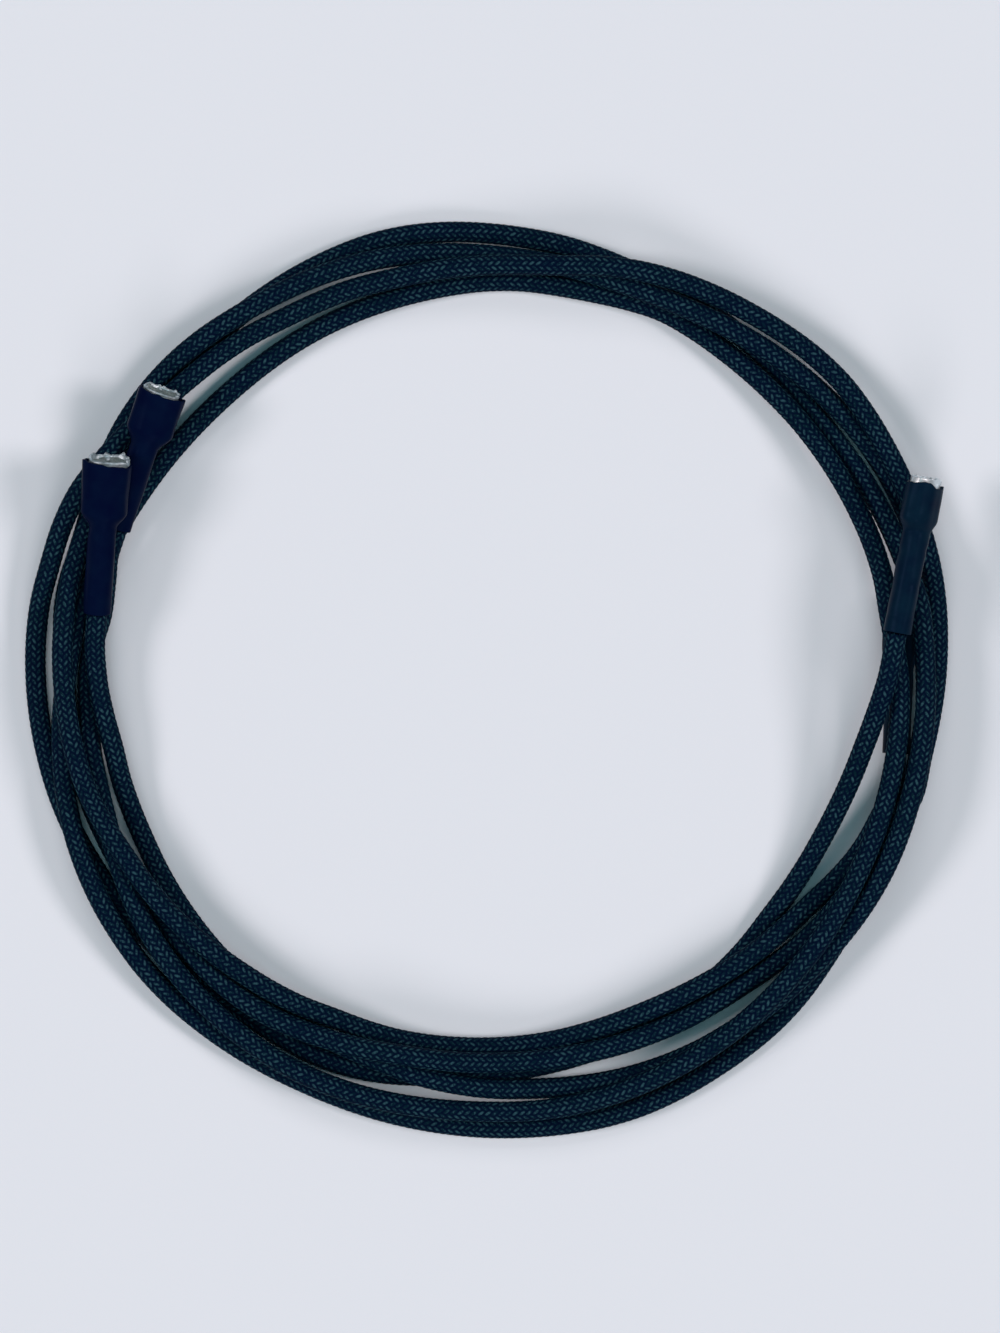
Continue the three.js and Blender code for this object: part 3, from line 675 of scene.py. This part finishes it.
# A row is its place along the sleeve and how far in from the outside it lies: up
# the outside, over the lip of the mouth, down the inside and round the foot.
def sleeve_body(letter, end, seed, around=96, outer_rows=110, inner_rows=50):
    sleeve, phase = SLEEVES[letter], phases(seed)
    lip = 0.00012
    bevel = lip * 0.3
    foot, foot_bevel, foot_wall = 0.00015, 0.0002, 0.00032
    crease_wander, squareness = 0.0009, 0.035
    flare_length, cut_length, face_height = 0.011, 0.006, 0.003
    rows = [(s, 0.0) for s in np.linspace(foot_wall, SLEEVE_LENGTH - lip, outer_rows)]
    rows += [(SLEEVE_LENGTH - bevel, bevel), (SLEEVE_LENGTH, lip)]
    rows += [(SLEEVE_LENGTH, SLEEVE_WALL - lip), (SLEEVE_LENGTH - bevel, SLEEVE_WALL - bevel)]
    rows += [(s, SLEEVE_WALL) for s in np.linspace(SLEEVE_LENGTH - lip, foot_wall, inner_rows)]
    rows += [(foot_bevel, SLEEVE_WALL - bevel), (foot, SLEEVE_WALL - lip), (foot, lip), (foot_bevel, bevel)]
    s, inset = (np.array([row[k] for row in rows])[:, None] for k in range(2))
    angle = np.arange(around)[None, :] / around * 2 * math.pi
    opened, wide, high = sleeve_opened(s, sleeve["wide"], sleeve["taper"])
    ripple = (0.00007 * np.sin(2 * angle + phase[0] + 140 * s)
              + 0.00005 * np.sin(5 * angle + phase[1] - 210 * s)
              + 0.00005 * opened * np.sin(9 * angle + phase[2] + 90 * s)
              + 0.00004 * np.sin(430 * s + phase[3] + angle))
    for at, width, depth, turn in CREASES[letter]:
        place = at + crease_wander * np.cos(angle - turn)
        strongest = 0.55 + 0.45 * np.cos(2 * (angle - turn))
        ripple = ripple + depth * np.exp(-((s - place) / width) ** 2) * strongest
    flare = sleeve["flare"] * smooth((s - SLEEVE_LENGTH + flare_length) / flare_length)
    bulge = 1 + squareness * opened * np.sin(2 * angle) ** 2 + flare
    x = (wide - inset + ripple) * np.cos(angle) * bulge
    y = (high - inset + ripple) * np.sin(angle) * bulge
    across, above = across_and_above(end, x, y)
    cut = np.interp(across, *zip(*MOUTH_CUTS[letter])) * smooth(above / face_height + 0.5)
    cut = cut + 0.00012 * np.sin(7 * angle + phase[4]) + 0.00008 * np.sin(13 * angle + phase[5])
    moved = smooth((s - SLEEVE_LENGTH + cut_length) / cut_length)
    s = s + (cut + sleeve["mouth"] - SLEEVE_LENGTH) * moved
    return closed_rows("sleeve_" + letter, end, x, y, s, loop=True)


def sleeve_finish(name, dark, light, shine):
    shade = Shade(name)
    cloud, grain = shade.noise(160.0, 3.0), shade.noise(2200.0, 2.0)
    colour = shade.blend(cloud, dark, light)
    shade.feed(Base_Color=colour, Roughness=0.24 + cloud * 0.14, Specular_IOR_Level=shine,
               Specular_Tint=(0.22, 0.50, 1.0))
    shade.relief(grain * 0.3 + cloud, 0.00006, 0.6)
    return shade.material


navy = sleeve_finish("navy_sleeve", (0.0006, 0.0008, 0.0185), (0.0018, 0.0085, 0.0310), 0.010)
teal = sleeve_finish("teal_sleeve", (0.0012, 0.0033, 0.0190), (0.0034, 0.0205, 0.0380), 0.022)
for seed, (letter, end) in enumerate(ends.items()):
    sleeve = sleeve_body(letter, end, SLEEVE_SEED + seed)
    sleeve.data.materials.append(navy if letter in "ab" else teal)
    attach(sleeve, "root")
    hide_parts("shrink_sleeve_" + letter)


# ---- The metal ends ----
# An oval tinned cup stands out of each mouth. Its rim is rough: it was pinched
# and soldered by hand, and small beads of solder sit along it.
CUP = (0.00615, 0.00395)  # half its width and height
CUP_WALL = 0.0009
CUP_FACE = 0.0004  # how far the filler's face stands out of the mouth
CUP_LEAN = 0.0075  # the height over which the rim leans from far to near
CUP_DEPTH = 0.0098  # from the mouth back to the cup's bottom
BEAD_RADIUS = 0.00062
BEAD_SUNK = 0.00015  # into the rim
BEADS_BELOW = 0.002  # above the middle, over which the rim has no beads
RIM_SEED, FILLER_SEED = 60, 80

# Each cup: its size, how far its rim stands out on the near and the far side, how
# far it sits to one side in its mouth, and how rough its rim is.
CUPS = {
    "a": {"scale": 1.0, "near": 0.0008, "far": 0.0018, "aside": -0.0007, "rough": 1.1},
    "b": {"scale": 0.90, "near": 0.0004, "far": 0.0015, "aside": 0.0003, "rough": 0.4},
    "c": {"scale": 1.0, "near": 0.0017, "far": 0.0017, "aside": 0.0, "rough": 0.5},
    "d": {"scale": 1.0, "near": 0.0012, "far": 0.0016, "aside": 0.0, "rough": 1.0},
}


def rim_height(letter, above, angle, phase):
    cup = CUPS[letter]
    lean = smooth(0.5 - above / CUP_LEAN)
    wave = (0.00022 * np.sin(3 * angle + phase[0]) + 0.00018 * np.sin(7 * angle + phase[1])
            + 0.00010 * np.sin(15 * angle + phase[2]))
    stand = cup["near"] + (cup["far"] - cup["near"]) * lean
    return SLEEVES[letter]["mouth"] + stand + cup["rough"] * wave * (0.35 + lean)


# A row of the cup is its place along the cup, or at_rim, then how far it lies in
# from the outside of the wall, and its rise from the rim's own height.
def cup_body(letter, end, seed, around=120):
    cup, mouth, phase = CUPS[letter], SLEEVES[letter]["mouth"], phases(seed)
    angle = np.arange(around) / around * 2 * math.pi
    nip = 1 + 0.018 * np.sin(4 * angle + phase[3]) + 0.012 * np.sin(9 * angle + phase[4])
    wide, high = (half * cup["scale"] for half in CUP)
    _, above = across_and_above(end, wide * np.cos(angle), high * np.sin(angle))
    top = rim_height(letter, above, angle, phase)
    back, floor, bead = mouth - CUP_DEPTH, mouth - 0.0012, 0.00022
    at_rim = None
    rows = [
        (back, 0.0004, 0), (back + 0.0004, 0.0, 0), (mouth - 0.0006, 0.0, 0),
        (at_rim, 0.0, -2.2 * bead), (at_rim, -0.00008, -bead), (at_rim, 0.0001, 0),
        (at_rim, CUP_WALL * 0.5, bead * 0.2), (at_rim, CUP_WALL - 0.0001, -bead * 0.2),
        (at_rim, CUP_WALL, -1.4 * bead), (at_rim, CUP_WALL * 1.1, -3.2 * bead),
        (floor, CUP_WALL * 1.1, 0),
    ]
    x, y, s = [], [], []
    for at, inset, rise in rows:
        flare = nip if at in (at_rim, floor) else 1.0
        x.append((wide * flare - inset) * np.cos(angle))
        y.append((high * flare - inset) * np.sin(angle))
        s.append(top + rise if at is at_rim else np.full(around, at))
    x, y, s = (np.array(values) for values in (x, y, s))
    return closed_rows("metal_rim_" + letter, end, x + cup["aside"], y, s)


# The face in the cup: hard grey-green filler, lumpy, smeared up to the rim.
def filler_body(letter, end, seed, around=72, rings=14, lump_count=26):
    cup, mouth, rng = CUPS[letter], SLEEVES[letter]["mouth"], np.random.default_rng(seed)
    angle = np.arange(around)[None, :] / around * 2 * math.pi
    share = np.concatenate([[1.0, 1.0], np.linspace(1, 0.06, rings)])[:, None]
    wide, high = (half * cup["scale"] - CUP_WALL - 0.00005 for half in CUP)
    x, y = wide * share * np.cos(angle), high * share * np.sin(angle)
    lumps = np.zeros_like(x)
    for _ in range(lump_count):
        lump_x, lump_y = rng.uniform(-1, 1) * wide, rng.uniform(-1, 1) * high
        size, tall = rng.uniform(0.0005, 0.0014), rng.uniform(-0.00035, 0.00060)
        lumps += tall * np.exp(-((x - lump_x) ** 2 + (y - lump_y) ** 2) / size ** 2)
    _, above = across_and_above(end, x, y)
    slope = (cup["far"] - cup["near"]) * smooth(0.5 - above / CUP_LEAN) * 0.45
    s = mouth + CUP_FACE + slope + np.clip(lumps, -0.0006, 0.0009)
    s[0] = mouth - 0.001
    s[1] -= 0.0002
    return closed_rows("end_filler_" + letter, end, x + cup["aside"], y, s)


# Beads of solder: a few lumps placed along the rim and one at the middle, where
# the wire comes through.
def bead_tree():
    tree = bpy.data.node_groups.new("solder_beads", "GeometryNodeTree")
    for name, kind, flow in (
        ("Places", "NodeSocketGeometry", "INPUT"),
        ("Bead radius", "NodeSocketFloat", "INPUT"),
        ("Seed", "NodeSocketInt", "INPUT"),
        ("Finish", "NodeSocketMaterial", "INPUT"),
        ("Beads", "NodeSocketGeometry", "OUTPUT"),
    ):
        tree.interface.new_socket(name, in_out=flow, socket_type=kind)
    nodes, link = tree.nodes, tree.links.new
    given, made = nodes.new("NodeGroupInput"), nodes.new("NodeGroupOutput")
    bead = nodes.new("GeometryNodeMeshIcoSphere")
    bead.inputs["Subdivisions"].default_value = 3
    link(given.outputs["Bead radius"], bead.inputs["Radius"])
    scale, turn = nodes.new("FunctionNodeRandomValue"), nodes.new("FunctionNodeRandomValue")
    for random, least, most in ((scale, 0.55, 1.25), (turn, 0.0, 6.28)):
        random.data_type = "FLOAT_VECTOR"
        random.inputs[0].default_value, random.inputs[1].default_value = (least,) * 3, (most,) * 3
        link(given.outputs["Seed"], random.inputs["Seed"])
    spread = nodes.new("GeometryNodeInstanceOnPoints")
    link(given.outputs["Places"], spread.inputs["Points"])
    link(bead.outputs["Mesh"], spread.inputs["Instance"])
    link(scale.outputs[0], spread.inputs["Scale"])
    link(turn.outputs[0], spread.inputs["Rotation"])
    whole = nodes.new("GeometryNodeRealizeInstances")
    rounded = nodes.new("GeometryNodeSetShadeSmooth")
    paint = nodes.new("GeometryNodeSetMaterial")
    link(spread.outputs[0], whole.inputs[0])
    link(whole.outputs[0], rounded.inputs[0])
    link(rounded.outputs[0], paint.inputs["Geometry"])
    link(given.outputs["Finish"], paint.inputs["Material"])
    link(paint.outputs[0], made.inputs[0])
    return tree


def solder_beads(letter, end, tree, seed, finish, count=11):
    cup, mouth, rng = CUPS[letter], SLEEVES[letter]["mouth"], np.random.default_rng(seed)
    phase = phases(RIM_SEED + seed)
    wide, high = (half * cup["scale"] - CUP_WALL * 0.5 for half in CUP)
    places = []
    for k in range(count):
        angle = (k + rng.uniform(-0.35, 0.35)) / count * 2 * math.pi
        x, y = wide * math.cos(angle), high * math.sin(angle)
        _, above = across_and_above(end, x, y)
        if above <= BEADS_BELOW:
            s = float(rim_height(letter, above, angle, phase)) - BEAD_SUNK
            places.append((x + cup["aside"], y, s))
    places.append((0.0004 + cup["aside"], 0.0003, mouth + CUP_FACE + 0.0006))
    points = [tuple(end["origin"] + end["side"] * x + end["up"] * y + end["axis"] * s) for x, y, s in places]
    mesh = bpy.data.meshes.new("bead_places")
    mesh.from_pydata(points, [], [])
    holder = put_in_scene("bead_places", mesh)
    beads = holder.modifiers.new("beads", "NODES")
    beads.node_group = tree
    sockets = {item.name: item.identifier for item in tree.interface.items_tree}
    beads[sockets["Bead radius"]] = BEAD_RADIUS
    beads[sockets["Seed"]] = seed
    beads[sockets["Finish"]] = finish
    now = bpy.context.evaluated_depsgraph_get()
    solid = bpy.data.meshes.new_from_object(holder.evaluated_get(now), depsgraph=now)
    bpy.data.objects.remove(holder)
    return put_in_scene("solder_beads_" + letter, solid)


def tinned_finish(name, dark, light):
    shade = Shade(name)
    blotch, grain = shade.noise(420.0, 4.0), shade.noise(2600.0, 3.0)
    colour = shade.blend((blotch * 2.2 - 0.6).math("MAXIMUM", 0), dark, light)
    shade.feed(Base_Color=colour, Roughness=0.58 - blotch * 0.28, Metallic=0.7)
    shade.relief(blotch + grain * 0.35, 0.00022, 0.8)
    return shade.material


def filler_finish(name, dark, light):
    shade = Shade(name)
    blotch, grain = shade.noise(520.0, 4.0), shade.noise(2400.0, 2.0)
    colour = shade.blend((blotch + grain * 0.9 - 0.5).math("MAXIMUM", 0), dark, light)
    shade.feed(Base_Color=colour, Roughness=0.5 - grain * 0.15, Specular_IOR_Level=0.45)
    shade.relief(blotch + grain * 0.3, 0.00020, 0.7)
    return shade.material


tinned = tinned_finish("tinned_metal", (0.12, 0.175, 0.200), (0.62, 0.77, 0.84))
# A copy of the tinned metal painted paler, as painted light on the ends c and d.
painted_lit_tin = tinned_finish("tin_painted_lit", (0.40, 0.48, 0.52), (0.80, 0.92, 0.97))
filler = filler_finish("end_filler", (0.030, 0.050, 0.050), (0.25, 0.34, 0.34))
beads = bead_tree()
for seed, (letter, end) in enumerate(ends.items()):
    rim = cup_body(letter, end, RIM_SEED + seed)
    # The ends c and d take the copy painted paler, as painted light; a and b take the plain tinned metal.
    metal = tinned if letter in "ab" else painted_lit_tin
    rim.data.materials.append(metal)
    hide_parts("metal_end_" + letter)
    face = filler_body(letter, end, FILLER_SEED + seed)
    face.data.materials.append(filler)
    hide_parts("insulator_" + letter)
    solder = solder_beads(letter, end, beads, seed, metal)
    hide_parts("contact_" + letter)
    for piece, slot in ((rim, "tinned"), (face, "resin"), (solder, "silvered")):
        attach(piece, "root")

# Each cord's route is thinned to every third point and its last, and the list is not kept.
for node, route, last in (("cord_one", route_one, "a"), ("cord_two", route_two, "b")):
    [tuple(p) for p in route[::3]] + [tuple(route[-1])]


# ---- Table and light ----
# A plain pale table. The light comes softly from four windows, one on each side,
# and weakly from the ceiling, so the ring's own shade is faint all round.
TABLE_REACH = 6.0
TABLE_DROP = 0.0003
WARM, COOL = (1.0, 0.78, 0.76), (0.55, 0.95, 1.0)

corners = [(-TABLE_REACH, -TABLE_REACH), (TABLE_REACH, -TABLE_REACH)]
corners += [(TABLE_REACH, TABLE_REACH), (-TABLE_REACH, TABLE_REACH)]
table_mesh = bpy.data.meshes.new("table")
table_mesh.from_pydata([(x, y, -TABLE_DROP) for x, y in corners], [], [(0, 1, 2, 3)])
table = put_in_scene("table", table_mesh)
table_top = Shade("table_top")
table_top.feed(Base_Color=(0.703, 0.839, 0.923), Roughness=0.75, Specular_IOR_Level=0.2)
table.data.materials.append(table_top.material)

world = bpy.data.worlds.new("room")
bpy.context.scene.world = world
world.use_nodes = True
world.node_tree.nodes["Background"].inputs["Color"].default_value = (*COOL, 1)
world.node_tree.nodes["Background"].inputs["Strength"].default_value = 0.088


# Each light comes evenly from one side, given as a direction, and is as soft as
# the angle over which it is spread, in degrees.
def add_light(name, toward, strength, spread, colour):
    light = bpy.data.lights.new(name, "SUN")
    light.energy, light.color, light.angle = strength, colour, math.radians(spread)
    lamp = put_in_scene(name, light)
    lamp.rotation_euler = Vector(toward).to_track_quat("Z", "Y").to_euler()


add_light("left_window", (-0.85, 0.0, 0.85), 1.30, 18, WARM)
add_light("right_window", (0.85, 0.0, 0.85), 1.30, 18, WARM)
add_light("far_window", (-0.05, 0.85, 0.90), 0.60, 22, WARM)
add_light("near_window", (0.0, -0.85, 0.72), 1.06, 26, WARM)
add_light("ceiling", (0.0, 0.0, 1.0), 0.28, 24, COOL)
